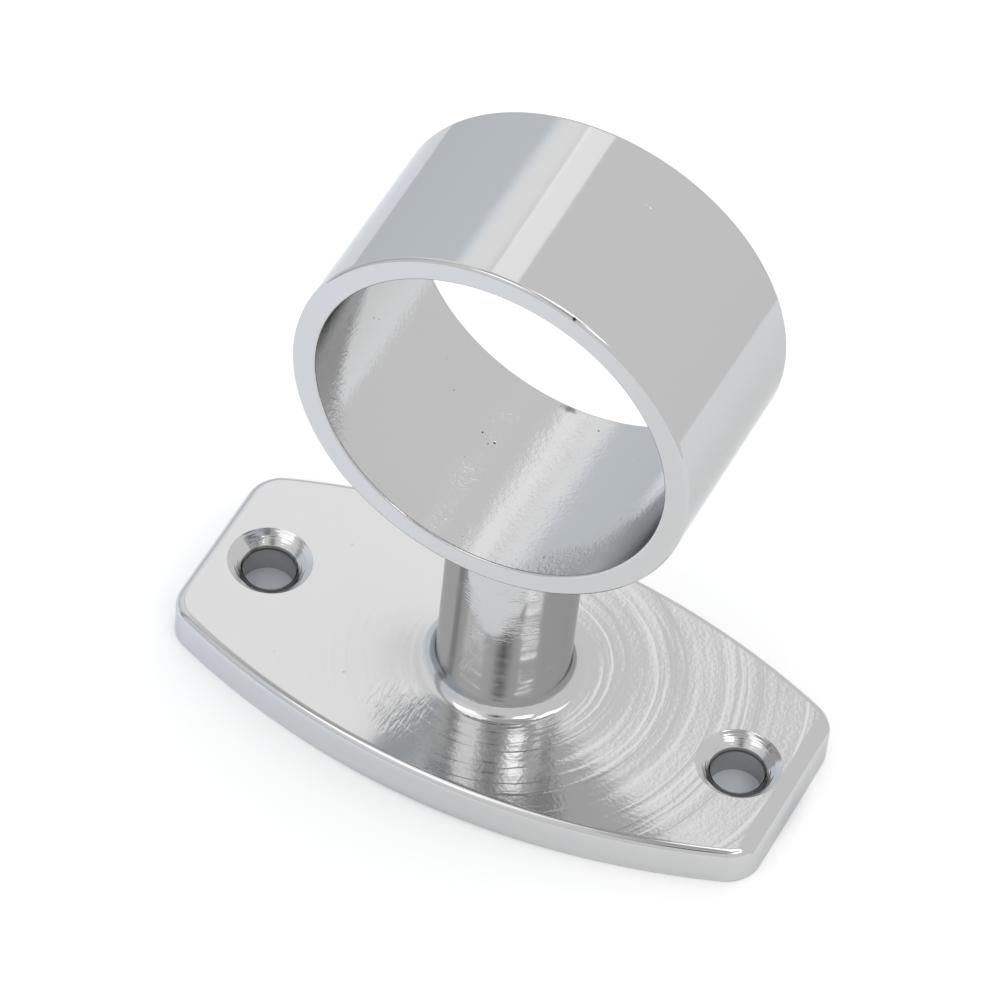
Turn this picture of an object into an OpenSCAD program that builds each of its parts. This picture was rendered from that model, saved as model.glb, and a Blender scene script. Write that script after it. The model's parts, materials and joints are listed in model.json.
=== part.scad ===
// Handrail support: a plain ring that carries a 32 mm rail, on a short round stem with a
// barrel-shaped screw plate. It is one chrome-plated die casting, so it is one solid.
// The origin is the centre of the plate's underside. +X runs along the plate from screw
// to screw, +Y along the rail, and +Z up the stem to the ring.

/* [Rail ring] */
// Diameter of the hole that the rail slides through
rail_bore_d = 32.2; // [24:0.1:42]
// Thickness of the ring's wall
ring_wall = 2.2; // [1.6:0.1:4]
// Width of the ring along the rail
ring_w = 19.5; // [16:0.5:40]
// Height of the rail's centre above the plate's underside
rail_height = 44; // [34:0.5:80]
// Rounding of the ring's two outer rim edges
rim_outer_r = 0.4; // [0.1:0.05:0.7]
// Rounding of the ring's two inner rim edges
rim_inner_r = 0.25; // [0.1:0.05:0.6]

/* [Stem] */
// Diameter of the stem
stem_d = 12; // [8:0.1:14]
// Radius of the hollow fillet where the stem stands on the plate
foot_fillet_r = 1.7; // [1:0.1:4]
// Depth by which that fillet runs on into the plate, which leaves a fine line round its foot
foot_fillet_sink = 0.06; // [0.02:0.02:0.2]
// Radius of the hollow flare where the stem starts to open into the ring
neck_flare_r = 3; // [1.5:0.1:4]
// Distance that the neck spreads past the stem, on each side, where it meets the ring
neck_spread = 2; // [1.2:0.1:3]

/* [Screw plate] */
// Length of the plate
plate_l = 57; // [52:0.5:66]
// Width of the plate across its middle
plate_w = 30; // [26:0.5:40]
// Thickness of the plate
plate_t = 3.8; // [3:0.1:8]
// Radius of the two bowed long sides, seen from above
side_bow_r = 68.5; // [60:0.5:90]
// Radius of the four corners, seen from above
corner_r = 3.5; // [2:0.1:5]
// Rounding of the upper edge along the bowed sides and the corners
side_edge_r = 1; // [0.4:0.1:1.8]
// Rounding of the upper edge along the two short ends
end_edge_r = 1.7; // [0.4:0.1:2.4]

/* [Screw holes] */
// Distance between the centres of the two screw holes
screw_spacing = 46; // [36:0.5:47]
// Diameter of the through holes
screw_hole_d = 4.8; // [3.5:0.1:6]
// Diameter of the countersinks at the plate's top
countersink_d = 7.4; // [6.2:0.1:8]
// Depth of the countersinks
countersink_depth = 1.1; // [0.6:0.1:2]

/* [Hidden] */
$fn = 144;
// Length by which each cut runs past the surface that it opens
overrun = 1;
ring_bore_r = rail_bore_d / 2;
ring_outer_r = ring_bore_r + ring_wall;
stem_r = stem_d / 2;
// Distance from the plate's middle line to the centre of each bowed side
side_bow_offset = side_bow_r - plate_w / 2;
// Centre of the corner rounding in the +X +Y quarter, which touches the end and the bowed side
corner_x = plate_l / 2 - corner_r;
corner_y = sqrt(pow(side_bow_r - corner_r, 2) - pow(corner_x, 2)) - side_bow_offset;
// Distance by which a form laps past its neighbour, so that their faces cross and never just touch
lap = 0.02;
// Angle that the corner rounding turns through, from the end to the bowed side
corner_turn = atan2(corner_y + side_bow_offset, corner_x);
// Slope at which the neck runs into the ring, from upright
neck_slope = 30;
// Depth by which the neck is sunk in the ring's wall
neck_sink = 0.4;

// Half section of a plate of radius r and height h, whose upper edge is rounded with radius edge_r
module plate_section(r, h, edge_r) {
    square([r, h - edge_r]);
    square([r - edge_r, h]);
    translate([r - edge_r, h - edge_r]) circle(r = edge_r);
}

// Round disc whose rim gives one bowed long side of the plate; side is 1 or -1
module bowed_disc(side) {
    translate([0, -side * side_bow_offset, 0]) rotate_extrude()
        plate_section(side_bow_r, plate_t, side_edge_r);
}

// Bar across the plate whose two rounded ends give the plate's short sides
module square_end_bar() {
    rotate([90, 0, 0]) linear_extrude(height = plate_w + 2 * overrun, center = true) {
        plate_section(plate_l / 2, plate_t, end_edge_r);
        mirror([1, 0]) plate_section(plate_l / 2, plate_t, end_edge_r);
    }
}

// Waste outside the rounded corner in the +X +Y quarter
module corner_waste() {
    reach = 2 * corner_r;
    translate([corner_x, corner_y, 0]) difference() {
        translate([0, 0, -overrun]) linear_extrude(height = plate_t + 2 * overrun) polygon([
            [0, 0],
            [reach, 0],
            [reach, reach * tan(corner_turn / 2)],
            [reach * cos(corner_turn), reach * sin(corner_turn)]
        ]);
        translate([0, 0, -2 * overrun]) cylinder(r = corner_r + lap, h = 2 * overrun + plate_t / 2);
        rotate_extrude() plate_section(corner_r + lap, plate_t + lap, side_edge_r);
    }
}

// Barrel-shaped screw plate with rounded corners and a rounded upper edge
module screw_plate() {
    difference() {
        intersection() {
            bowed_disc(1);
            bowed_disc(-1);
            square_end_bar();
        }
        for (mx = [0, 1], my = [0, 1]) mirror([mx, 0, 0]) mirror([0, my, 0]) corner_waste();
    }
}

// Hollow fillet round the stem's foot, as half a section
module foot_section() {
    foot_r = stem_r + foot_fillet_r;
    foot_top = plate_t + foot_fillet_r - foot_fillet_sink;
    difference() {
        translate([0, plate_t / 2]) square([foot_r, foot_top - plate_t / 2]);
        translate([foot_r, foot_top]) circle(r = foot_fillet_r);
    }
}

// Neck that opens from the stem into the ring, as half a section: a hollow arc, then a cone
module neck_section() {
    top_r = stem_r + neck_spread;
    top_z = rail_height - sqrt(pow(ring_outer_r, 2) - pow(top_r, 2));
    cone_r = stem_r + neck_flare_r * (1 - cos(neck_slope));
    cone_z = top_z - (top_r - cone_r) / tan(neck_slope);
    arc_z = cone_z - neck_flare_r * sin(neck_slope);
    difference() {
        translate([0, arc_z]) square([stem_r + neck_flare_r / 2, cone_z - arc_z]);
        translate([stem_r + neck_flare_r, arc_z]) circle(r = neck_flare_r);
    }
    polygon([
        [0, arc_z],
        [cone_r + lap - (cone_z - arc_z) * tan(neck_slope), arc_z],
        [top_r + lap + neck_sink * tan(neck_slope), top_z + neck_sink],
        [0, top_z + neck_sink]
    ]);
}

// Round stem, turned in one with its foot and its neck
module stem() {
    shank_z = plate_t / 2;
    rotate_extrude() {
        translate([0, shank_z]) square([stem_r, rail_height - ring_outer_r + ring_wall / 2 - shank_z]);
        foot_section();
        neck_section();
    }
}

// Waste outside a rounded rim edge at (x, y); sx and sy point from the edge into the metal
module rim_waste(x, y, sx, sy, r) {
    translate([x, y]) scale([sx, sy]) difference() {
        translate([-overrun, -overrun]) square(r + overrun);
        translate([r, r]) circle(r = r);
    }
}

// Turns half a section about the rail's axis; the section's Y is along the rail
module turn_about_rail() {
    translate([0, 0, rail_height]) rotate([90, 0, 0]) rotate_extrude() children();
}

// Outside of the ring, before the rail's hole is cut
module ring_blank() {
    turn_about_rail() difference() {
        translate([0, -ring_w / 2]) square([ring_outer_r, ring_w]);
        for (end = [-1, 1]) rim_waste(ring_outer_r, end * ring_w / 2, -1, -end, rim_outer_r);
    }
}

// Hole for the rail, whose two ends open out round the inner rim edges
module rail_bore() {
    turn_about_rail() {
        translate([0, -ring_w / 2 - overrun]) square([ring_bore_r, ring_w + 2 * overrun]);
        for (end = [-1, 1]) difference() {
            translate([ring_bore_r - rim_inner_r, end * ring_w / 2 - rim_inner_r])
                square(2 * rim_inner_r);
            translate([ring_bore_r + rim_inner_r, end * (ring_w / 2 - rim_inner_r)])
                circle(r = rim_inner_r);
        }
    }
}

// Countersunk screw hole, cut from the plate's top
module screw_hole() {
    translate([0, 0, -overrun]) cylinder(d = screw_hole_d, h = plate_t + 2 * overrun);
    translate([0, 0, plate_t - countersink_depth]) cylinder(
        d1 = screw_hole_d,
        d2 = countersink_d + (countersink_d - screw_hole_d) * overrun / countersink_depth,
        h = countersink_depth + overrun
    );
}

// The whole casting: plate, stem and ring as one solid
module support_casting() {
    color([0.78, 0.79, 0.81]) difference() {
        union() {
            screw_plate();
            stem();
            ring_blank();
        }
        rail_bore();
        for (side = [-1, 1]) translate([side * screw_spacing / 2, 0, 0]) screw_hole();
    }
}

support_casting();
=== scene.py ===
"""Handrail support in bright chrome, on a pale studio floor.

One die casting: a plain ring for a round rail, a short stem and a barrel-shaped screw plate.
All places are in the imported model's own frame: the origin is the centre of the plate's underside,
+X runs from screw to screw, +Y along the rail and +Z up the stem.
"""

import json
import math

import bmesh
import bpy
from bpy.props import FloatProperty, FloatVectorProperty, PointerProperty
from mathutils import Matrix, Vector


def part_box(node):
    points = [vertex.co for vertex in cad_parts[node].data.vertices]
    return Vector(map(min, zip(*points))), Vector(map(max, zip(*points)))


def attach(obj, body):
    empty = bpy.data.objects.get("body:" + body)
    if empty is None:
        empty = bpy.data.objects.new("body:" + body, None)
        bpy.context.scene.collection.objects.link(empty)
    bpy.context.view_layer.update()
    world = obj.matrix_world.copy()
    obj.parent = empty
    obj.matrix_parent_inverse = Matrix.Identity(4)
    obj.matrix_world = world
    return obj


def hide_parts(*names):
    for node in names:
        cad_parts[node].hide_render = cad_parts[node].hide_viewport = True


bl_info = {
    "name": "Handrail support",
    "version": (1, 0, 0),
    "blender": (4, 5, 0),
    "location": "3D View > Sidebar > Handrail",
    "description": "Builds a chrome-plated handrail support and the studio it is photographed in",
    "category": "Add Mesh",
}

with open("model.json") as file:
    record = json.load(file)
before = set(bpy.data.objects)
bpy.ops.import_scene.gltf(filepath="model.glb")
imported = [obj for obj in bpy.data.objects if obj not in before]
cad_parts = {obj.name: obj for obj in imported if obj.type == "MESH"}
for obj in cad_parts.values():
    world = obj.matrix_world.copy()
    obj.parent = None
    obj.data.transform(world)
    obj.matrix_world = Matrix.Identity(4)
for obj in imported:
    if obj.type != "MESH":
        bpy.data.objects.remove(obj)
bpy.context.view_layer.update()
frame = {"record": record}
NODE = "support_casting"
MOUNTS = {mount["name"]: mount for mount in frame["record"]["mounts"]}
PLATE_LOW, PLATE_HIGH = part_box(NODE)
MM = 0.001
# Parts of the casting, whose numbers their faces carry until the finishes are chosen
RING, STEM, PLATE, HOLE = range(4)
PARTS = 4
# Vertices that lie closer together than this are one
MERGE_DISTANCE = 0.0005 * MM
# What lies this close to a height is at that height
LEVEL = 0.01 * MM
# Distance by which a cutter runs past the surface that it opens
CLEAR = 1 * MM
# Steps of a full turn of the ring, the stem and a screw hole
RING_STEPS = 288
STEM_STEPS = 192
HOLE_STEPS = 96
# Steps of a quarter turn in the fillets, of a plate corner, of half a bowed side and of a countersink's belly
FILLET_STEPS = 16
CORNER_STEPS = 14
BOW_STEPS = 24
BELLY_STEPS = 10
# Segments of the plate's upper and lower roundings and of the ring's rim edges
UPPER_SEGMENTS = 12
LOWER_SEGMENTS = 4
RIM_SEGMENTS = 6
# Sharpest turn of the skin that is still shaded smooth
CREASE_ANGLE = math.radians(28)


def bore_radius():
    """Radius of the rail's hole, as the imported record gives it."""
    return MOUNTS["rail_bore"]["dims"]["r_mm"] * MM


def rail_height():
    """Height of the rail's axis above the plate's underside."""
    return MOUNTS["rail_bore"]["pos_m"][2]


def linear(hex_colour):
    """An sRGB hex colour as the linear RGBA that shaders work in."""
    channels = [int(hex_colour[i:i + 2], 16) / 255 for i in (1, 3, 5)]
    return [c / 12.92 if c <= 0.04045 else ((c + 0.055) / 1.055) ** 2.4 for c in channels] + [1]


def length_property(name, description, default_mm):
    """A length that the panel shows in the scene's units."""
    return FloatProperty(
        name=name, description=description, default=default_mm * MM, min=0, subtype="DISTANCE", unit="LENGTH"
    )


def angle_property(name, description, default_degrees):
    """An angle that the panel shows in degrees."""
    return FloatProperty(
        name=name, description=description, default=math.radians(default_degrees), subtype="ANGLE",
        unit="ROTATION",
    )


def colour_property(name, description, hex_colour):
    """A colour that the panel shows as a swatch."""
    return FloatVectorProperty(
        name=name, description=description, default=linear(hex_colour), min=0, max=1, size=4, subtype="COLOR"
    )


class CastingSizes(bpy.types.PropertyGroup):
    """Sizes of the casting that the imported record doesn't hold"""

    ring_w: length_property("Ring width", "Width of the ring along the rail", 19.5)
    ring_wall: length_property("Ring wall", "Thickness of the ring's wall", 2.2)
    rim_outer_r: length_property("Outer rim rounding", "Radius of the ring's outer rim edges", 0.4)
    rim_inner_r: length_property("Inner rim rounding", "Radius of the ring's inner rim edges", 0.25)
    stem_d: length_property("Stem diameter", "Diameter of the stem's shank", 12.0)
    foot_fillet_r: length_property("Foot fillet", "Radius of the hollow fillet round the stem's foot", 1.7)
    foot_sink: length_property("Foot line", "Depth by which the foot's fillet runs on into the plate", 0.06)
    neck_fillet_r: length_property("Neck fillet", "Radius of the hollow fillet under the ring", 2.0)
    neck_sink: length_property("Neck line", "Depth by which the neck's fillet runs on into the ring", 0.03)
    plate_t: length_property("Plate thickness", "Thickness of the screw plate", 3.8)
    side_bow_r: length_property("Side bow", "Radius of the plate's two bowed long sides", 68.5)
    corner_r: length_property("Corner rounding", "Radius of the plate's corners, seen from above", 3.5)
    side_edge_r: length_property("Side rounding", "Rounding of the plate's upper edge on its bows", 0.8)
    end_edge_r: length_property("End rounding", "Rounding of the plate's upper edge at its +X end", 1.7)
    base_edge_r: length_property("Base edge", "Rounding of the plate's lower edge", 0.15)
    countersink_d: length_property("Countersink", "Diameter of the countersinks with their worn lip", 7.65)
    countersink_depth: length_property("Countersink depth", "Depth of the countersinks", 1.1)
    countersink_belly: angle_property(
        "Countersink belly", "Angle by which a countersink steepens from its lip to the hole", 20
    )


class ChromeFinish(bpy.types.PropertyGroup):
    """Colours of the chrome plate"""

    colour: colour_property("Chrome", "Reflected colour of the chrome plate", "#C5C5C5")
    edge: colour_property("Edge", "Share of a metal's grazing reflection that chromium keeps", "#E5E5E5")
    bare: colour_property("Bare", "Dull metal and dirt where the plate is missing", "#3A3733")


class StudioSetup(bpy.types.PropertyGroup):
    """Camera, floor and light"""

    azimuth: angle_property("Azimuth", "Camera's turn about Z, from a view along +Y", 21.32)
    elevation: angle_property("Elevation", "Camera's height angle", 48.92)
    roll: angle_property("Roll", "Camera's turn about its own line of sight", 6.73)
    distance: length_property("Distance", "Distance from the camera to the stem's middle", 616.15)
    lens: FloatProperty(name="Lens", description="Focal length on a sensor of 36 mm", default=259.6, min=1)
    floor_r: length_property("Floor radius", "Radius of the round floor", 160)
    floor: colour_property("Floor", "Colour of the open floor", "#F0F0F0")
    tent: colour_property("Tent", "Colour of the light tent", "#F7F7F7")


def new_object(name, mesh):
    """A linked object at the origin, which holds the mesh."""
    made = bpy.data.objects.new(name, mesh)
    bpy.context.scene.collection.objects.link(made)
    return made


def solid_object(name, bm, part):
    """Turns a closed bmesh into an object whose faces all point outwards and carry the part's number."""
    bmesh.ops.remove_doubles(bm, verts=bm.verts, dist=MERGE_DISTANCE)
    bmesh.ops.recalc_face_normals(bm, faces=bm.faces)
    for face in bm.faces:
        face.material_index = part
    mesh = bpy.data.meshes.new(name)
    bm.to_mesh(mesh)
    bm.free()
    for _ in range(PARTS):
        mesh.materials.append(None)
    return new_object(name, mesh)


def line_to(bm, start, *points):
    """Draws straight edges from a vertex through the points, and returns the last vertex."""
    for point in points:
        end = bm.verts.new(point)
        bm.edges.new((start, end))
        start = end
    return start


def arc_to(bm, start, centre, axis, angle, steps):
    """Draws an arc from a vertex, turned about the centre, and returns its last vertex."""
    swept = bmesh.ops.spin(
        bm, geom=[start], cent=centre, axis=axis, dvec=(0, 0, 0), angle=angle, space=Matrix(), steps=steps,
        use_merge=False, use_normal_flip=False, use_duplicate=False,
    )
    return next(item for item in swept["geom_last"] if isinstance(item, bmesh.types.BMVert))


def full_turn(bm, centre, axis, steps):
    """Turns every edge of the section once round the axis into a closed skin."""
    bmesh.ops.spin(
        bm, geom=bm.verts[:] + bm.edges[:], cent=centre, axis=axis, dvec=(0, 0, 0), angle=2 * math.pi,
        space=Matrix(), steps=steps, use_merge=True, use_normal_flip=False, use_duplicate=False,
    )


def extrude_outline(bm, move):
    """Fills the closed outline and raises it by the move into a solid."""
    bmesh.ops.contextual_create(bm, geom=bm.edges[:])
    raised = bmesh.ops.extrude_face_region(bm, geom=bm.faces[:])["geom"]
    far = [item for item in raised if isinstance(item, bmesh.types.BMVert)]
    bmesh.ops.translate(bm, verts=far, vec=move)


def ring_body(sizes):
    """Ring: a rounded wall section, turned once about the rail's axis."""
    inner = bore_radius()
    outer = inner + sizes.ring_wall
    half = sizes.ring_w / 2
    up = rail_height()
    bm = bmesh.new()
    section = ((-half, inner), (half, inner), (half, outer), (-half, outer))
    corners = [bm.verts.new((0, y, up + radius)) for y, radius in section]
    bm.faces.new(corners)
    for pair, radius in ((corners[:2], sizes.rim_inner_r), (corners[2:], sizes.rim_outer_r)):
        bmesh.ops.bevel(
            bm, geom=pair, offset=radius, offset_type="OFFSET", segments=RIM_SEGMENTS, profile=0.5,
            affect="VERTICES", material=-1,
        )
    bmesh.ops.delete(bm, geom=bm.faces[:], context="FACES_ONLY")
    full_turn(bm, (0, 0, up), (0, 1, 0), RING_STEPS)
    return solid_object("ring", bm, RING)


def stem_body(sizes):
    """Stem: a section with a hollow fillet at foot and neck, turned once, and its neck bent onto the ring."""
    radius = sizes.stem_d / 2
    ring_r = bore_radius() + sizes.ring_wall
    base_z = sizes.plate_t / 2
    foot_z = sizes.plate_t - sizes.foot_sink
    foot_r = radius + sizes.foot_fillet_r
    neck_z = rail_height() - ring_r + sizes.neck_sink
    neck_r = radius + sizes.neck_fillet_r
    neck_start_z = neck_z - sizes.neck_fillet_r
    top_z = neck_z + sizes.ring_wall / 2
    bm = bmesh.new()
    start = bm.verts.new((0, 0, base_z))
    pen = line_to(bm, start, (foot_r, 0, base_z), (foot_r, 0, foot_z))
    pen = arc_to(bm, pen, (foot_r, 0, foot_z + sizes.foot_fillet_r), (0, 1, 0), math.pi / 2, FILLET_STEPS)
    pen = line_to(bm, pen, (radius, 0, neck_start_z))
    pen = arc_to(bm, pen, (neck_r, 0, neck_start_z), (0, 1, 0), math.pi / 2, FILLET_STEPS)
    line_to(bm, pen, (neck_r, 0, top_z), (0, 0, top_z))
    full_turn(bm, (0, 0, 0), (0, 0, 1), STEM_STEPS)
    for vert in bm.verts:
        share = min(max((vert.co.z - neck_start_z) / sizes.neck_fillet_r, 0), 1)
        drop = ring_r - math.sqrt(ring_r ** 2 - vert.co.x ** 2)
        vert.co.z += drop * share ** 2 * (3 - 2 * share)
    return solid_object("stem", bm, STEM)


def plate_body(sizes):
    """Screw plate: a quarter of the outline is drawn and mirrored, then the plate is raised and rounded."""
    half_l = (PLATE_HIGH.x - PLATE_LOW.x) / 2
    half_w = (PLATE_HIGH.y - PLATE_LOW.y) / 2
    bow_y = half_w - sizes.side_bow_r
    corner_x = half_l - sizes.corner_r
    reach = sizes.side_bow_r - sizes.corner_r
    corner_turn = math.acos(corner_x / reach)
    corner_y = bow_y + reach * math.sin(corner_turn)
    bm = bmesh.new()
    pen = line_to(bm, bm.verts.new((half_l, 0, 0)), (half_l, corner_y, 0))
    pen = arc_to(bm, pen, (corner_x, corner_y, 0), (0, 0, 1), corner_turn, CORNER_STEPS)
    arc_to(bm, pen, (0, bow_y, 0), (0, 0, 1), math.pi / 2 - corner_turn, BOW_STEPS)
    for axis in "XY":
        quarter = bm.verts[:] + bm.edges[:]
        bmesh.ops.mirror(bm, geom=quarter, matrix=Matrix(), merge_dist=2 * MERGE_DISTANCE, axis=axis)
    extrude_outline(bm, (0, 0, sizes.plate_t))
    for height, radius, segments in (
        (sizes.plate_t, sizes.side_edge_r, UPPER_SEGMENTS), (0, sizes.base_edge_r, LOWER_SEGMENTS),
    ):
        edges = [edge for edge in bm.edges if all(abs(end.co.z - height) < LEVEL for end in edge.verts)]
        bmesh.ops.bevel(
            bm, geom=edges, offset=radius, offset_type="OFFSET", segments=segments, profile=0.5,
            affect="EDGES", material=-1,
        )
    plate = solid_object("plate", bm, PLATE)
    combine(plate, "DIFFERENCE", [end_waste(sizes, half_l)])
    return plate


def end_waste(sizes, half_l):
    """What the larger rounding takes off the plate's upper edge at its +X end."""
    radius = sizes.end_edge_r
    low = sizes.plate_t - radius
    top = sizes.plate_t + CLEAR
    outside = half_l + CLEAR
    span = PLATE_HIGH.y + CLEAR
    bm = bmesh.new()
    first = bm.verts.new((outside, -span, low))
    pen = line_to(bm, first, (half_l, -span, low))
    pen = arc_to(bm, pen, (half_l - radius, -span, low), (0, -1, 0), math.pi / 2, FILLET_STEPS)
    pen = line_to(bm, pen, (pen.co.x, -span, top), (outside, -span, top))
    bm.edges.new((pen, first))
    extrude_outline(bm, (0, 2 * span, 0))
    return solid_object("end waste", bm, PLATE)


def screw_cutter(sizes, x):
    """What a countersunk screw hole takes out of the plate: a straight hole under a slightly bellied cone."""
    radius = MOUNTS["screw_holes"]["dims"]["hole_r_mm"] * MM
    top = sizes.plate_t + CLEAR
    foot = Vector((radius, 0, sizes.plate_t - sizes.countersink_depth))
    lip = Vector((sizes.countersink_d / 2, 0, sizes.plate_t))
    slant = lip - foot
    into_metal = Vector((slant.z, 0, -slant.x)) / (2 * math.tan(sizes.countersink_belly / 2))
    bm = bmesh.new()
    start = bm.verts.new((0, 0, -CLEAR))
    pen = line_to(bm, start, (radius, 0, -CLEAR), foot)
    pen = arc_to(bm, pen, (foot + lip) / 2 + into_metal, (0, 1, 0), sizes.countersink_belly, BELLY_STEPS)
    line_to(bm, pen, (pen.co.x, 0, top), (0, 0, top))
    full_turn(bm, (0, 0, 0), (0, 0, 1), HOLE_STEPS)
    bmesh.ops.translate(bm, verts=bm.verts, vec=(x, 0, 0))
    return solid_object("screw hole", bm, HOLE)


def combine(target, operation, tools):
    """Joins the tools to the target, or cuts them out of it, and removes them."""
    for tool in tools:
        step = target.modifiers.new(operation.title(), "BOOLEAN")
        step.operation = operation
        step.solver = "EXACT"
        step.object = tool
        solid = bpy.data.meshes.new_from_object(target.evaluated_get(bpy.context.evaluated_depsgraph_get()))
        target.modifiers.clear()
        target.data = solid
        bpy.data.objects.remove(tool)


def mark_creases(mesh):
    """Smooths the skin, but keeps an edge sharp where it turns hard or where two of its parts meet."""
    bm = bmesh.new()
    bm.from_mesh(mesh)
    bmesh.ops.remove_doubles(bm, verts=bm.verts, dist=MERGE_DISTANCE)
    for face in bm.faces:
        face.smooth = True
    for edge in bm.edges:
        meets = len({face.material_index for face in edge.link_faces}) > 1
        edge.smooth = not meets and edge.calc_face_angle(0) < CREASE_ANGLE
    bm.to_mesh(mesh)
    bm.free()


def add_node(tree, kind, *inputs, output=0, **settings):
    """Adds a shader node with its settings and links, and returns one of its outputs.

    Inputs come in the node's own order, and each is a number, a colour or another node's output. A setting
    named after an input, with spaces as underscores, goes to the first such input, and one named in_6 to the
    input of that number. Any other setting sets the node itself.
    """
    node = tree.nodes.new(kind)
    sockets = {socket.name.lower().replace(" ", "_"): socket for socket in reversed(node.inputs)}
    sockets.update({f"in_{number}": socket for number, socket in enumerate(node.inputs)})
    for name, value in settings.items():
        if name not in sockets:
            setattr(node, name, value)
    settings.update({f"in_{number}": value for number, value in enumerate(inputs)})
    for name, socket in sockets.items():
        value = settings.get(name)
        if isinstance(value, bpy.types.NodeSocket):
            tree.links.new(value, socket)
        elif value is not None:
            socket.default_value = value
    return node.outputs[output] if node.outputs else None


def new_material(name):
    """A new material and its empty node tree."""
    material = bpy.data.materials.new(name)
    material.use_nodes = True
    material.node_tree.nodes.clear()
    return material, material.node_tree


def position_mm(tree, centre=(0, 0, 0), stretch=(1, 1, 1)):
    """The place on the object from a centre, both in millimetres, stretched along X, Y or Z."""
    place = add_node(tree, "ShaderNodeTexCoord", output="Object")
    scale = [s / MM for s in stretch]
    shift = [-c * s for c, s in zip(centre, stretch)]
    return add_node(tree, "ShaderNodeMapping", vector=place, location=shift, scale=scale)


def ripples(tree, place, pitch, height, detail=2.0, roughness=0.5, where=()):
    """Soft ripples about one pitch across, up and down round zero, whose height each mask in where scales."""
    relief = add_node(
        tree, "ShaderNodeTexNoise", vector=place, scale=1 / pitch, detail=detail, roughness=roughness
    )
    relief = add_node(tree, "ShaderNodeMath", relief, height, -height / 2, operation="MULTIPLY_ADD")
    for mask in where:
        relief = add_node(tree, "ShaderNodeMath", relief, mask, operation="MULTIPLY")
    return relief


def round_stem(tree, sweep, wander):
    """Radius round the stem in mm, and the place in polar form: X is the radius, Y and Z turn with the angle.

    Ripples on that place run round the stem, and fade over about 1 / sweep radians. Wander is added to its
    radius, so that they aren't quite round.
    """
    flat = position_mm(tree, stretch=(1, 1, 0))
    radius = add_node(tree, "ShaderNodeVectorMath", flat, operation="LENGTH", output="Value")
    way = add_node(tree, "ShaderNodeVectorMath", flat, operation="NORMALIZE")
    way = add_node(tree, "ShaderNodeVectorMath", way, operation="SCALE", scale=sweep)
    turn = add_node(tree, "ShaderNodeSeparateXYZ", way).node.outputs
    wandering = add_node(tree, "ShaderNodeMath", radius, wander, operation="ADD")
    return radius, add_node(tree, "ShaderNodeCombineXYZ", wandering, turn["X"], turn["Y"])


def spot(tree, centre, radii, core=0.5, inside=1.0, outside=0.0):
    """A soft mark: one value in the core of an ellipsoid, whose radii are in mm, and another outside it."""
    place = position_mm(tree, centre, [1 / radius for radius in radii])
    away = add_node(tree, "ShaderNodeVectorMath", place, operation="LENGTH", output="Value")
    return add_node(
        tree, "ShaderNodeMapRange", away, core, 1, inside, outside, interpolation_type="SMOOTHSTEP"
    )


def pits(tree, place, spacing, radius, share, depth=1.0):
    """Small casting pits, one in that share of the cells of that spacing: depth in the middle, 0 round them.

    Lengths are in mm, and the pits are from 0.4 to 1.4 of the radius.
    """
    cells = add_node(tree, "ShaderNodeTexVoronoi", vector=place, scale=1 / spacing, randomness=1).node.outputs
    chance = add_node(tree, "ShaderNodeSeparateColor", cells["Color"])
    there = add_node(tree, "ShaderNodeMath", chance, share, operation="LESS_THAN")
    reach = add_node(tree, "ShaderNodeMath", chance, radius / share, 0.4 * radius, operation="MULTIPLY_ADD")
    away = add_node(tree, "ShaderNodeMath", cells["Distance"], spacing, operation="MULTIPLY")
    away = add_node(tree, "ShaderNodeMath", away, reach, operation="DIVIDE")
    bowl = add_node(tree, "ShaderNodeMapRange", away, 0, 1, depth, 0)
    return add_node(tree, "ShaderNodeMath", bowl, there, operation="MULTIPLY")


def chrome_plate(tree, finish, layers, roughness, bare=None):
    """Chrome whose bump adds up the layers' heights in mm. Bare, from 0 to 1, is where it is missing."""
    relief = layers[0]
    for layer in layers[1:]:
        relief = add_node(tree, "ShaderNodeMath", relief, layer, operation="ADD")
    normal = add_node(tree, "ShaderNodeBump", height=relief, strength=1.0, distance=MM)
    colour = finish.colour
    if bare is not None:
        colour = add_node(
            tree, "ShaderNodeMix", bare, data_type="RGBA", in_6=finish.colour, in_7=finish.bare, output=2
        )
    shader = add_node(
        tree, "ShaderNodeBsdfPrincipled", base_color=colour, specular_tint=finish.edge, metallic=1.0,
        roughness=roughness, normal=normal,
    )
    add_node(tree, "ShaderNodeOutputMaterial", surface=shader)


def buffed_chrome(scene):
    """Chrome over buffed zinc: nearly a mirror, with slow waves and fine lines along the rail from the mop.

    The real lines are a few hundredths of a mm apart, and are drawn coarser so that they show. There is one
    scratch on top of the ring, and one bare speck at its rim.
    """
    material, tree = new_material("Chrome plate, buffed")
    waves = ripples(tree, position_mm(tree), pitch=3.5, height=0.008, detail=1)
    lines = ripples(tree, position_mm(tree, stretch=(1, 0.12, 1)), pitch=0.35, height=0.0008, detail=3)
    scratch = spot(tree, (6.1, 4.54, 61.25), (0.45, 0.09, 0.4), core=0.2, inside=-0.03)
    speck = spot(tree, (6.3, -9.6, 61.1), (0.25, 0.2, 0.3), core=0.3)
    chrome_plate(tree, scene.handrail_finish, (waves, lines, scratch), 0.07, speck)
    return material


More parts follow.
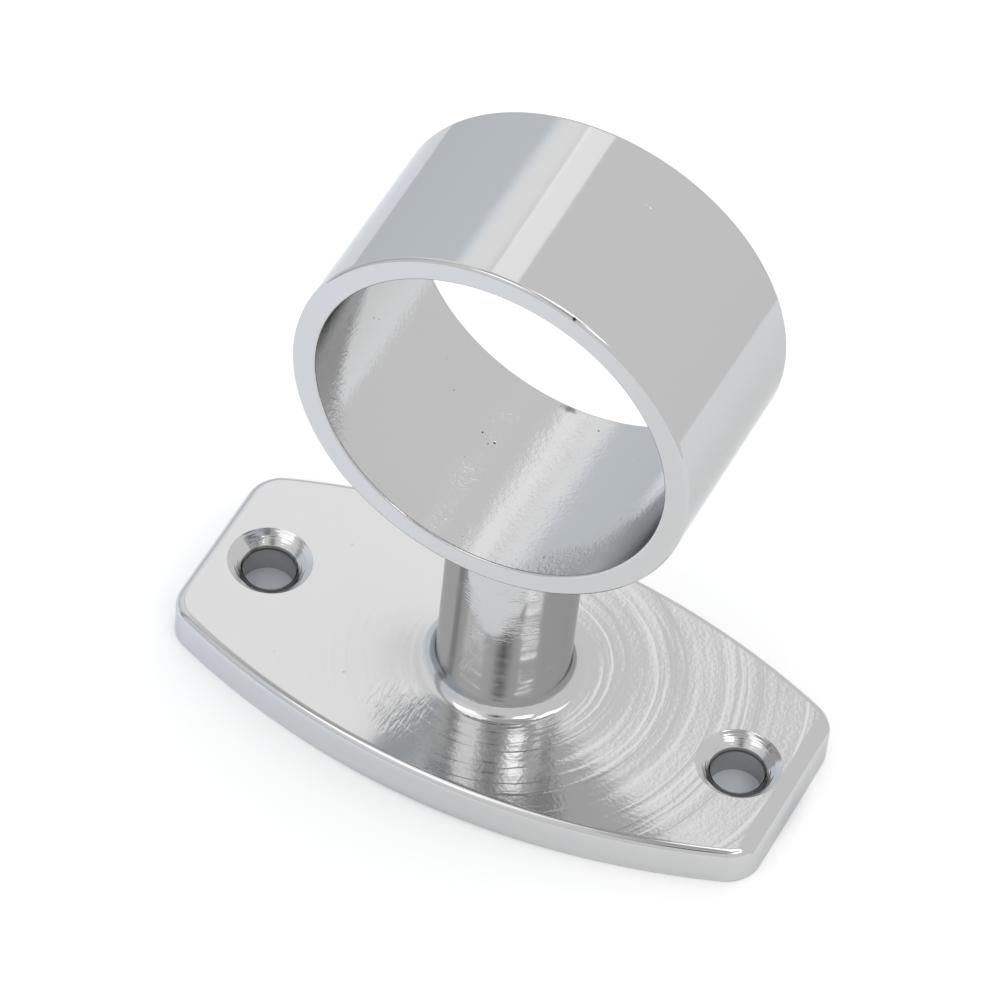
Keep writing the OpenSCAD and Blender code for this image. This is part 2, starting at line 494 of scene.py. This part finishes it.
def cast_chrome(scene):
    """Chrome over as-cast zinc, in the rail's hole: it keeps the die's fine grain, slow waves and a few pits.

    The grain is rougher in one place at the front and in a band along the bottom, and a dirty smudge lies at
    that band's far end.
    """
    material, tree = new_material("Chrome plate over as-cast zinc")
    place = position_mm(tree)
    waves = ripples(tree, place, pitch=2.6, height=0.02, detail=1)
    patchy = add_node(
        tree, "ShaderNodeMapRange", ripples(tree, place, pitch=5.0, height=1), -0.12, 0.16, 0.5, 1.0,
        interpolation_type="SMOOTHSTEP",
    )
    for rougher in (
        spot(tree, (7.5, -7.8, 30), (3.2, 2.4, 4), inside=1.2),
        spot(tree, (1.8, 3, 28), (5.5, 13, 3), core=0.4, inside=0.3),
    ):
        patchy = add_node(tree, "ShaderNodeMath", patchy, rougher, operation="ADD")
    grain = ripples(tree, place, pitch=0.42, height=0.028, detail=3, roughness=0.65, where=[patchy])
    large = pits(tree, place, spacing=2.6, radius=0.17, share=0.6)
    small = pits(tree, place, spacing=0.9, radius=0.09, share=0.16)
    pitted = add_node(tree, "ShaderNodeMath", large, small, operation="ADD")
    sunk = add_node(tree, "ShaderNodeMath", pitted, -0.04, operation="MULTIPLY")
    dirty = add_node(tree, "ShaderNodeMapRange", pitted, 0.15, 0.6, interpolation_type="SMOOTHSTEP")
    smudge = add_node(
        tree, "ShaderNodeMath", spot(tree, (-0.3, 9.3, 27.9), (1.5, 0.7, 0.5), core=0.1),
        ripples(tree, place, pitch=0.5, height=1), operation="ADD",
    )
    smudge = add_node(
        tree, "ShaderNodeMapRange", smudge, 0.2, 1.3, 0, 0.75, interpolation_type="SMOOTHSTEP"
    )
    bare = add_node(tree, "ShaderNodeMath", dirty, smudge, operation="MAXIMUM")
    chrome_plate(tree, scene.handrail_finish, (waves, grain, sunk), 0.11, bare)
    return material


def turned_chrome(scene):
    """Chrome over the turned face of the plate: a slight crown, and the tool's grooves round the stem.

    The grooves' bands catch the light as pale arcs. They are worn smooth towards -X, where a patch is
    scratched. The real tool's grooves are about 0.1 mm apart, and the finest are drawn coarser to show.
    """
    material, tree = new_material("Chrome plate over a turned face")
    place = position_mm(tree)
    along = add_node(tree, "ShaderNodeSeparateXYZ", place)
    worn = add_node(tree, "ShaderNodeMapRange", along, -9, 6, 0.08, 1, interpolation_type="SMOOTHSTEP")
    wander = ripples(tree, place, pitch=3.5, height=0.3)
    radius, long_arcs = round_stem(tree, 0.5, wander)
    short_arcs = round_stem(tree, 1.2, wander)[1]
    crown = add_node(tree, "ShaderNodeMath", radius, -9.5, operation="DIVIDE")
    crown = add_node(tree, "ShaderNodeMath", crown, operation="EXPONENT")
    crown = add_node(tree, "ShaderNodeMath", crown, 1.45, operation="MULTIPLY")
    front = spot(tree, (0, -10, 3.8), (10, 8, 3), core=0.4, inside=0.3, outside=1)
    outer = add_node(tree, "ShaderNodeMapRange", radius, 13, 21, 1, 0.35, interpolation_type="SMOOTHSTEP")
    bands = ripples(tree, long_arcs, pitch=2.6, height=0.1, where=(front, outer, worn))
    steps = ripples(tree, long_arcs, pitch=1.2, height=1, detail=1)
    steps = add_node(tree, "ShaderNodeMapRange", steps, 0, 0.1, 0, 0.012, interpolation_type="SMOOTHSTEP")
    steps = add_node(tree, "ShaderNodeMath", steps, worn, operation="MULTIPLY")
    fine = ripples(tree, short_arcs, pitch=0.45, height=0.006, roughness=0.6, where=[worn])
    grain = ripples(tree, place, pitch=0.38, height=0.01, where=[worn])
    waves = ripples(tree, place, pitch=5.0, height=0.02, detail=1)
    patch = spot(tree, (-5.3, -9.5, 3.8), (4.5, 4.0, 3.0), core=0.3)
    scratches = ripples(tree, position_mm(tree, stretch=(1, 0.25, 1)), pitch=0.4, height=0.035, where=[patch])
    dings = pits(tree, place, spacing=2.0, radius=0.12, share=0.35, depth=-0.02)
    layers = (crown, bands, steps, fine, grain, waves, scratches, dings)
    chrome_plate(tree, scene.handrail_finish, layers, 0.13)
    return material


def stem_chrome(scene):
    """Chrome over the turned stem: nearly a mirror, crossed by short fine lines in patches, with a few pits.

    The real lines are about 0.1 mm apart, and are drawn coarser so that they show.
    """
    material, tree = new_material("Chrome plate over the turned stem")
    place = position_mm(tree)
    waves = ripples(tree, place, pitch=3.0, height=0.008, detail=1)
    patchy = add_node(
        tree, "ShaderNodeMapRange", ripples(tree, place, pitch=3.0, height=1), -0.1, 0.2,
        interpolation_type="SMOOTHSTEP",
    )
    across = ripples(
        tree, position_mm(tree, stretch=(0.2, 0.2, 1)), pitch=0.24, height=0.03, detail=3, roughness=0.6,
        where=[patchy],
    )
    pitted = pits(tree, place, spacing=2.2, radius=0.13, share=0.3)
    sunk = add_node(tree, "ShaderNodeMath", pitted, -0.03, operation="MULTIPLY")
    dirty = add_node(tree, "ShaderNodeMapRange", pitted, 0.2, 0.8, interpolation_type="SMOOTHSTEP")
    chrome_plate(tree, scene.handrail_finish, (waves, across, sunk), 0.08, dirty)
    return material


def drilled_chrome(scene):
    """Chrome in the countersunk holes: the cutter's rings on the cone, and a dull wall in the hole itself.

    A dark line is painted where the hole starts. The rings are drawn about 0.3 mm apart, which is
    coarser than the real ones, so that they show.
    """
    material, tree = new_material("Chrome plate in a countersink")
    place = position_mm(tree)
    spacing = MOUNTS["screw_holes"]["dims"]["spacing_x_mm"]
    hole_r = MOUNTS["screw_holes"]["dims"]["hole_r_mm"]
    seat_z = (scene.handrail_sizes.plate_t - scene.handrail_sizes.countersink_depth) / MM
    parts = add_node(tree, "ShaderNodeSeparateXYZ", place).node.outputs
    aside = add_node(tree, "ShaderNodeMath", parts["X"], operation="ABSOLUTE")
    aside = add_node(tree, "ShaderNodeMath", aside, spacing / 2, operation="SUBTRACT")
    flat = add_node(tree, "ShaderNodeCombineXYZ", aside, parts["Y"])
    radius = add_node(tree, "ShaderNodeVectorMath", flat, operation="LENGTH", output="Value")
    section = add_node(tree, "ShaderNodeCombineXYZ", radius, parts["Z"])
    rings = ripples(tree, section, pitch=0.3, height=0.028, detail=1)
    waves = ripples(tree, place, pitch=1.2, height=0.006, detail=1)
    # A dark line painted round the top of the hole, in the finish's dark colour
    line = add_node(
        tree, "ShaderNodeMapRange", radius, hole_r + 0.1, hole_r + 0.2, 0.8, 0,
        interpolation_type="SMOOTHSTEP",
    )
    high = add_node(
        tree, "ShaderNodeMapRange", parts["Z"], seat_z - 0.4, seat_z - 0.1, interpolation_type="SMOOTHSTEP"
    )
    bare = add_node(tree, "ShaderNodeMath", line, high, operation="MULTIPLY")
    roughness = add_node(
        tree, "ShaderNodeMapRange", parts["Z"], seat_z - 0.2, seat_z + 0.05, 0.45, 0.11,
        interpolation_type="SMOOTHSTEP",
    )
    chrome_plate(tree, scene.handrail_finish, (rings, waves), roughness, bare)
    return material


FINISHES = (buffed_chrome, cast_chrome, turned_chrome, stem_chrome, drilled_chrome)
BUFFED, CAST, TURNED, TURNED_STEM, DRILLED = range(len(FINISHES))


def finish_of(face, sizes):
    """Which finish a face of the casting has, from the part that it belongs to and where it lies."""
    centre = face.center
    if face.material_index == RING:
        from_rail = math.hypot(centre.x, centre.z - rail_height())
        return CAST if from_rail < bore_radius() + sizes.rim_inner_r / 2 else BUFFED
    if face.material_index == STEM:
        return TURNED_STEM
    if face.material_index == HOLE:
        return DRILLED
    return TURNED if centre.z > sizes.plate_t - LEVEL else BUFFED


class HANDRAIL_OT_casting(bpy.types.Operator):
    """Model the casting, with its ring, stem and screw plate in one skin"""

    bl_idname = "handrail.casting"
    bl_label = "Build casting"

    def execute(self, context):
        sizes = context.scene.handrail_sizes
        casting = ring_body(sizes)
        casting.name = "chrome_casting"
        combine(casting, "UNION", [stem_body(sizes), plate_body(sizes)])
        half_spacing = MOUNTS["screw_holes"]["dims"]["spacing_x_mm"] * MM / 2
        combine(casting, "DIFFERENCE", [screw_cutter(sizes, side * half_spacing) for side in (-1, 1)])
        mark_creases(casting.data)
        regions = [finish_of(face, sizes) for face in casting.data.polygons]
        casting.data.materials.clear()
        for finish in FINISHES:
            casting.data.materials.append(finish(context.scene))
        for face, region in zip(casting.data.polygons, regions):
            face.material_index = region
        weighted = casting.modifiers.new("Face weighted normals", "WEIGHTED_NORMAL")
        weighted.keep_sharp = True
        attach(casting, "root")
        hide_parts(NODE)
        return {"FINISHED"}


# Height on the stem that camera and lamps face, and the camera's shift, which places the object in view
AIM_HEIGHT = 25 * MM
CAMERA_SHIFT = (-1.85 * MM, 0.28 * MM, 0)
# Painted shadow: the floor's colour under the plate, darker where the plate blocks the light
PAINTED_SHADOW_UNDER_PLATE = "#C6CACF"
# Light of the open floor: what the camera sees, and what the chrome mirrors near the plate and far from it
FLOOR_SEEN = 0.19
FLOOR_NEAR = 0.26
FLOOR_FAR = 0.18
# Softboxes: name, azimuth and elevation in degrees as for the camera, width and height in metres, and how
# much brighter than the tent behind it each one is, with white as 1
SOFTBOXES = (
    ("overhead_box", 135, 72, 0.84, 0.84, 1.6),
    ("front_left_box", -30, 62, 0.68, 0.88, 0.9),
    ("back_left_narrow_box", -157, 50, 0.28, 1.00, 0.39),
    ("right_small_box", 64, 53, 0.50, 0.28, 2.6),
)
SOFTBOX_DISTANCE = 1.6
# Patches of the tent that the chrome mirrors: azimuth and elevation, the angles from the middle at which each
# starts and ends to fade, all in degrees, and how bright it is, with the tent as 1
BRIGHT_PATCHES = (
    (-142, 38, 3, 10, 1.3),
    (-104, 47, 12, 30, 1.17),
    (-25, 46, 10, 25, 1.12),
)
# The same for the dark of the lens and of what stands round it, which lie in the camera's own direction
CAMERA_PATCHES = (
    (2.5, 4.0, 0.1),
    (6, 11.5, 0.55),
)
# The same for a dim upright stand, which reaches from the floor to the top
STAND_PATCH = (-71, 0, 3, 9, 0.6)


class HANDRAIL_OT_studio(bpy.types.Operator):
    """Set the floor, the light tent, the lamps and the camera"""

    bl_idname = "handrail.studio"
    bl_label = "Set up studio"

    def execute(self, context):
        setup = context.scene.handrail_studio
        add_floor(setup)
        add_tent(context.scene, setup)
        add_softboxes()
        add_camera(context.scene, setup)
        context.scene.view_settings.view_transform = "Standard"
        return {"FINISHED"}


def add_floor(setup):
    """Pale floor, a little smaller than the tent: white in the open, with the soft shadow kept."""
    bm = bmesh.new()
    bmesh.ops.create_circle(bm, cap_ends=True, segments=128, radius=setup.floor_r)
    mesh = bpy.data.meshes.new("floor")
    bm.to_mesh(mesh)
    bm.free()
    floor = new_object("floor", mesh)
    mesh.materials.append(white_card(setup))


def white_card(setup):
    """White card: matt, with the plate's shadow painted in under it, a glow in the open that the camera sees
    and a bluer one that the chrome mirrors.

    Places on it are in half lengths and half widths of the plate.
    """
    material, tree = new_material("White card")
    place = position_mm(tree, stretch=(MM / PLATE_HIGH.x, MM / PLATE_HIGH.y, 0))
    reach = add_node(tree, "ShaderNodeVectorMath", place, operation="LENGTH", output="Value")
    in_the_open = add_node(tree, "ShaderNodeMapRange", reach, 0.92, 1.05, interpolation_type="SMOOTHSTEP")
    # Painted shadow: the card is greyer under the plate, where the plate blocks the light
    card = add_node(
        tree, "ShaderNodeMix", in_the_open, data_type="RGBA", in_6=linear(PAINTED_SHADOW_UNDER_PLATE), in_7=setup.floor,
        output=2,
    )
    surface = add_node(tree, "ShaderNodeBsdfDiffuse", color=card)
    rays = add_node(tree, "ShaderNodeLightPath").node.outputs
    mirrored = add_node(
        tree, "ShaderNodeMath", rays["Is Glossy Ray"], rays["Is Transmission Ray"], operation="MAXIMUM"
    )
    mirrored_level = add_node(
        tree, "ShaderNodeMapRange", reach, 1.2, 3.0, FLOOR_NEAR, FLOOR_FAR, interpolation_type="SMOOTHSTEP"
    )
    along = add_node(tree, "ShaderNodeSeparateXYZ", place)
    left = add_node(tree, "ShaderNodeMapRange", along, 0.2, -0.9, 0, 0.16, interpolation_type="SMOOTHSTEP")
    right = add_node(tree, "ShaderNodeMapRange", along, 1.4, 3.0, 0, 0.04, interpolation_type="SMOOTHSTEP")
    aside = add_node(tree, "ShaderNodeMath", left, right, operation="ADD")
    for ray, level, tint in (
        (mirrored, mirrored_level, "#FAFCFF"),
        (mirrored, aside, "#A8CCFF"),
        (rays["Is Camera Ray"], FLOOR_SEEN, "#FFFFFF"),
    ):
        strength = add_node(tree, "ShaderNodeMath", ray, level, operation="MULTIPLY")
        strength = add_node(tree, "ShaderNodeMath", strength, in_the_open, operation="MULTIPLY")
        glow = add_node(tree, "ShaderNodeEmission", strength=strength, color=linear(tint))
        surface = add_node(tree, "ShaderNodeAddShader", surface, glow)
    add_node(tree, "ShaderNodeOutputMaterial", surface=surface)
    return material


def facing(azimuth, elevation, distance, roll=0.0):
    """Stands at an azimuth and elevation, in radians, and faces the middle of the object."""
    turn = Matrix.Rotation(azimuth, 4, "Z") @ Matrix.Rotation(math.pi / 2 - elevation, 4, "X")
    turn = turn @ Matrix.Rotation(roll, 4, "Z")
    return Matrix.Translation((0, 0, AIM_HEIGHT)) @ turn @ Matrix.Translation((0, 0, distance))


def add_softboxes():
    """Rectangular softboxes round the tent, which light the object and show in the chrome."""
    for name, azimuth, elevation, width, height, level in SOFTBOXES:
        data = bpy.data.lights.new(name, "AREA")
        data.shape = "RECTANGLE"
        data.size = width
        data.size_y = height
        data.energy = level * math.pi * width * height
        lamp = new_object(name, data)
        lamp.matrix_world = facing(math.radians(azimuth), math.radians(elevation), SOFTBOX_DISTANCE)
        lamp.visible_camera = False


def add_tent(scene, setup):
    """Light tent: pale all round, dimmer at the very top, bluer low on the left, and white to the camera."""
    world = bpy.data.worlds.new("Light tent")
    world.use_nodes = True
    tree = world.node_tree
    tree.nodes.clear()
    way = add_node(tree, "ShaderNodeTexCoord", output="Generated")
    parts = add_node(tree, "ShaderNodeSeparateXYZ", way).node.outputs
    flat = add_node(tree, "ShaderNodeVectorMath", way, (1, 1, 0), operation="MULTIPLY")
    level_way = add_node(tree, "ShaderNodeVectorMath", flat, operation="NORMALIZE")
    lens = (math.degrees(setup.azimuth), math.degrees(setup.elevation))
    patches = [(way, *lens, *patch) for patch in CAMERA_PATCHES]
    patches += [(way, *patch) for patch in BRIGHT_PATCHES]
    patches.append((level_way, *STAND_PATCH))
    shade = add_node(
        tree, "ShaderNodeMapRange", parts["Z"], 0.84, 0.92, 1, 0.62, interpolation_type="SMOOTHSTEP"
    )
    for near, azimuth, elevation, core, fade, level in patches:
        middle = facing(math.radians(azimuth), math.radians(elevation), 1.0).to_3x3() @ Vector((0, 0, 1))
        close = add_node(tree, "ShaderNodeVectorMath", near, middle, operation="DOT_PRODUCT", output="Value")
        outer, inner = (math.cos(math.radians(angle)) for angle in (fade, core))
        patch = add_node(
            tree, "ShaderNodeMapRange", close, outer, inner, 1, level, interpolation_type="SMOOTHSTEP"
        )
        shade = add_node(tree, "ShaderNodeMath", shade, patch, operation="MULTIPLY")
    left = add_node(tree, "ShaderNodeMapRange", parts["X"], -0.42, -0.58, interpolation_type="SMOOTHSTEP")
    low = add_node(tree, "ShaderNodeMapRange", parts["Z"], 0.5, 0.62, 1, 0, interpolation_type="SMOOTHSTEP")
    low_left = add_node(tree, "ShaderNodeMath", left, low, operation="MULTIPLY")
    cloth = add_node(
        tree, "ShaderNodeMix", low_left, data_type="RGBA", in_6=setup.tent, in_7=linear("#ECF2F9"), output=2
    )
    seen = add_node(tree, "ShaderNodeLightPath", output="Is Camera Ray")
    colour = add_node(
        tree, "ShaderNodeMix", seen, data_type="RGBA", in_6=cloth, in_7=linear("#FFFFFF"), output=2
    )
    strength = add_node(tree, "ShaderNodeMath", shade, seen, operation="MAXIMUM")
    sky = add_node(tree, "ShaderNodeBackground", color=colour, strength=strength)
    add_node(tree, "ShaderNodeOutputWorld", surface=sky)
    scene.world = world


def add_camera(scene, setup):
    """Camera at the photograph's angle, with its long lens."""
    data = bpy.data.cameras.new("camera")
    data.sensor_width = 36
    data.lens = setup.lens
    data.clip_start = 10 * MM
    camera = new_object("camera", data)
    stand = facing(setup.azimuth, setup.elevation, setup.distance, setup.roll)
    camera.matrix_world = stand @ Matrix.Translation(CAMERA_SHIFT)
    scene.camera = camera


class HANDRAIL_PT_panel(bpy.types.Panel):
    """Handrail support: sizes, finish and studio"""

    bl_label = "Handrail support"
    bl_idname = "HANDRAIL_PT_panel"
    bl_space_type = "VIEW_3D"
    bl_region_type = "UI"
    bl_category = "Handrail"

    def draw(self, context):
        layout = self.layout
        for group in GROUPS:
            box = layout.box()
            settings = getattr(context.scene, group)
            for name in settings.__annotations__:
                box.prop(settings, name)
        layout.operator(HANDRAIL_OT_casting.bl_idname)
        layout.operator(HANDRAIL_OT_studio.bl_idname)


GROUPS = {"handrail_sizes": CastingSizes, "handrail_finish": ChromeFinish, "handrail_studio": StudioSetup}
CLASSES = (*GROUPS.values(), HANDRAIL_OT_casting, HANDRAIL_OT_studio, HANDRAIL_PT_panel)


def register():
    for cls in CLASSES:
        bpy.utils.register_class(cls)
    for name, group in GROUPS.items():
        setattr(bpy.types.Scene, name, PointerProperty(type=group))


def unregister():
    for name in GROUPS:
        delattr(bpy.types.Scene, name)
    for cls in reversed(CLASSES):
        bpy.utils.unregister_class(cls)


def main():
    register()
    bpy.ops.handrail.casting()
    bpy.ops.handrail.studio()


if __name__ == "__main__":
    main()
